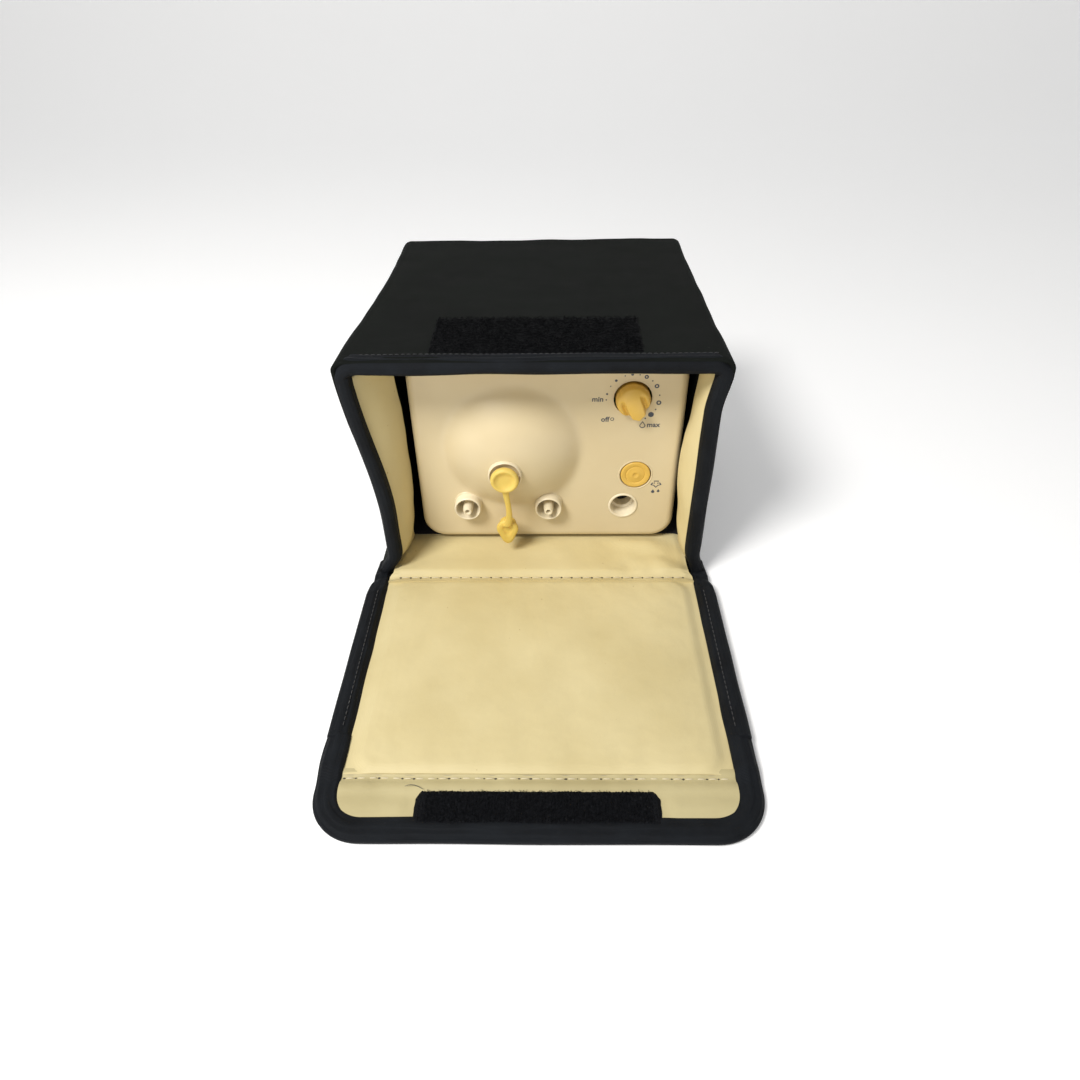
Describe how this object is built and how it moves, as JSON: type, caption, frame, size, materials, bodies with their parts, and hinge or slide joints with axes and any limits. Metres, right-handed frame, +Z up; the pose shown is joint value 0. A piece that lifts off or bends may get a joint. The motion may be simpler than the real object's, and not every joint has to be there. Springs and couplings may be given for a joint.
{
  "type": "breast pump",
  "caption": "Electric double breast pump: a motor unit with vacuum ports, a dial, a button and a tethered cap, in a padded fabric case with a fold-down flap.",
  "frame": {"origin": "middle of the case's flat underside, on the surface it stands on", "axes": "+X to the right as the user faces the pump, +Y from the case's open mouth to its back, +Z up"},
  "size_m": [0.189, 0.341, 0.1342],
  "materials": {
    "outer_fabric": "matt black laminated cloth",
    "binding_tape": "black bias binding",
    "lining_fabric": "smooth beige coated cloth",
    "hook_and_loop": "black hook and loop tape",
    "stiffener_board": "plain grey board",
    "cream_plastic": "fine satin moulding",
    "pale_plastic": "satin moulding",
    "yellow_plastic": "satin moulding",
    "yellow_silicone": "soft satin",
    "black_plastic": "moulded",
    "rubber": "matt",
    "silicone": "translucent white, drawn opaque",
    "steel": "zinc plated",
    "brass": "turned",
    "circuit_board": "green solder mask",
    "acetal": "moulded white"
  },
  "bodies": {
    "case": {"outer_bottom": "outer_fabric", "outer_top": "outer_fabric", "outer_left": "outer_fabric", "outer_right": "outer_fabric", "outer_back": "outer_fabric", "lining_bottom": "lining_fabric", "lining_top": "lining_fabric", "lining_left": "lining_fabric", "lining_right": "lining_fabric", "lining_back": "lining_fabric", "rim_binding": "binding_tape", "loop_strip": "hook_and_loop", "flap_hinge_strip": "outer_fabric", "front_housing": "cream_plastic", "rear_housing": "cream_plastic", "housing_screw_1": "steel", "housing_screw_2": "steel", "housing_screw_3": "steel", "housing_screw_4": "steel", "rubber_foot_1": "rubber", "rubber_foot_2": "rubber", "rubber_foot_3": "rubber", "rubber_foot_4": "rubber", "port_left": "pale_plastic", "port_right": "pale_plastic", "potentiometer": "black_plastic", "button_switch": "black_plastic", "socket_sleeve": "pale_plastic", "power_jack": "black_plastic", "circuit_board": "circuit_board", "chamber_cup": "cream_plastic", "diaphragm_membrane": "silicone", "clamp_ring": "acetal", "drive_belt": "rubber", "drive_motor": "steel", "mechanism_frame": "steel", "shaft_bush_upper": "brass", "shaft_bush_lower": "brass"},
    "flap": {"flap_outer": "outer_fabric", "flap_board": "stiffener_board", "flap_lining": "lining_fabric", "flap_binding_left": "binding_tape", "flap_binding_right": "binding_tape", "tail_hinge_strip": "outer_fabric"},
    "tail": {"tail_outer": "outer_fabric", "tail_lining": "lining_fabric", "tail_binding": "binding_tape", "hook_strip": "hook_and_loop"},
    "dial": {"dial_knob": "yellow_plastic", "dial_shaft": "steel"},
    "button": {"letdown_button": "yellow_plastic"},
    "cap": {"port_cap": "yellow_silicone"},
    "gear": {"drive_shaft": "steel", "drive_pinion": "acetal", "driven_pulley": "acetal"},
    "rotor": {"motor_shaft": "steel", "motor_pulley": "brass"},
    "rod": {"suction_rod": "acetal"}
  },
  "joints": [
    {"name": "flap_fold", "type": "hinge", "parent": "case", "child": "flap", "pos_m": [0, -0.0915, 0.006], "axis": [-1, 0, 0], "range_deg": [0, 90]},
    {"name": "tail_fold", "type": "hinge", "parent": "flap", "child": "tail", "pos_m": [0, -0.2225, 0.0035], "axis": [-1, 0, 0], "range_deg": [0, 90]},
    {"name": "dial_turn", "type": "hinge", "parent": "case", "child": "dial", "pos_m": [0.0478, -0.062, 0.0998], "axis": [0, -1, 0], "range_deg": [0, 298]},
    {"name": "button_press", "type": "slide", "parent": "case", "child": "button", "axis": [0, 1, 0], "range_m": [0, 0.0015], "stiffness_N_per_m": 400, "springref_m": -0.0005},
    {"name": "cap_swing", "type": "hinge", "parent": "case", "child": "cap", "pos_m": [-0.0185, -0.0778, 0.062], "axis": [0, -1, 0], "range_deg": [-38, 38]},
    {"name": "drive_spin", "type": "hinge", "parent": "case", "child": "gear", "pos_m": [-0.00395, 0, 0.07], "axis": [0, 0, 1], "range_deg": [-81.85, 0]},
    {"name": "motor_spin", "type": "hinge", "parent": "case", "child": "rotor", "pos_m": [0.044, 0.01, 0.079], "axis": [0, 0, 1], "range_deg": [-328, 0]},
    {"name": "rod_slide", "type": "slide", "parent": "case", "child": "rod", "axis": [0, 1, 0], "range_m": [0, 0.01], "deforming": ["diaphragm_membrane"]}
  ],
  "couplings": [
    {"joint": "rod_slide", "follows": "drive_spin", "m_per_rad": -0.007},
    {"joint": "motor_spin", "follows": "drive_spin", "ratio": 4}
  ]
}
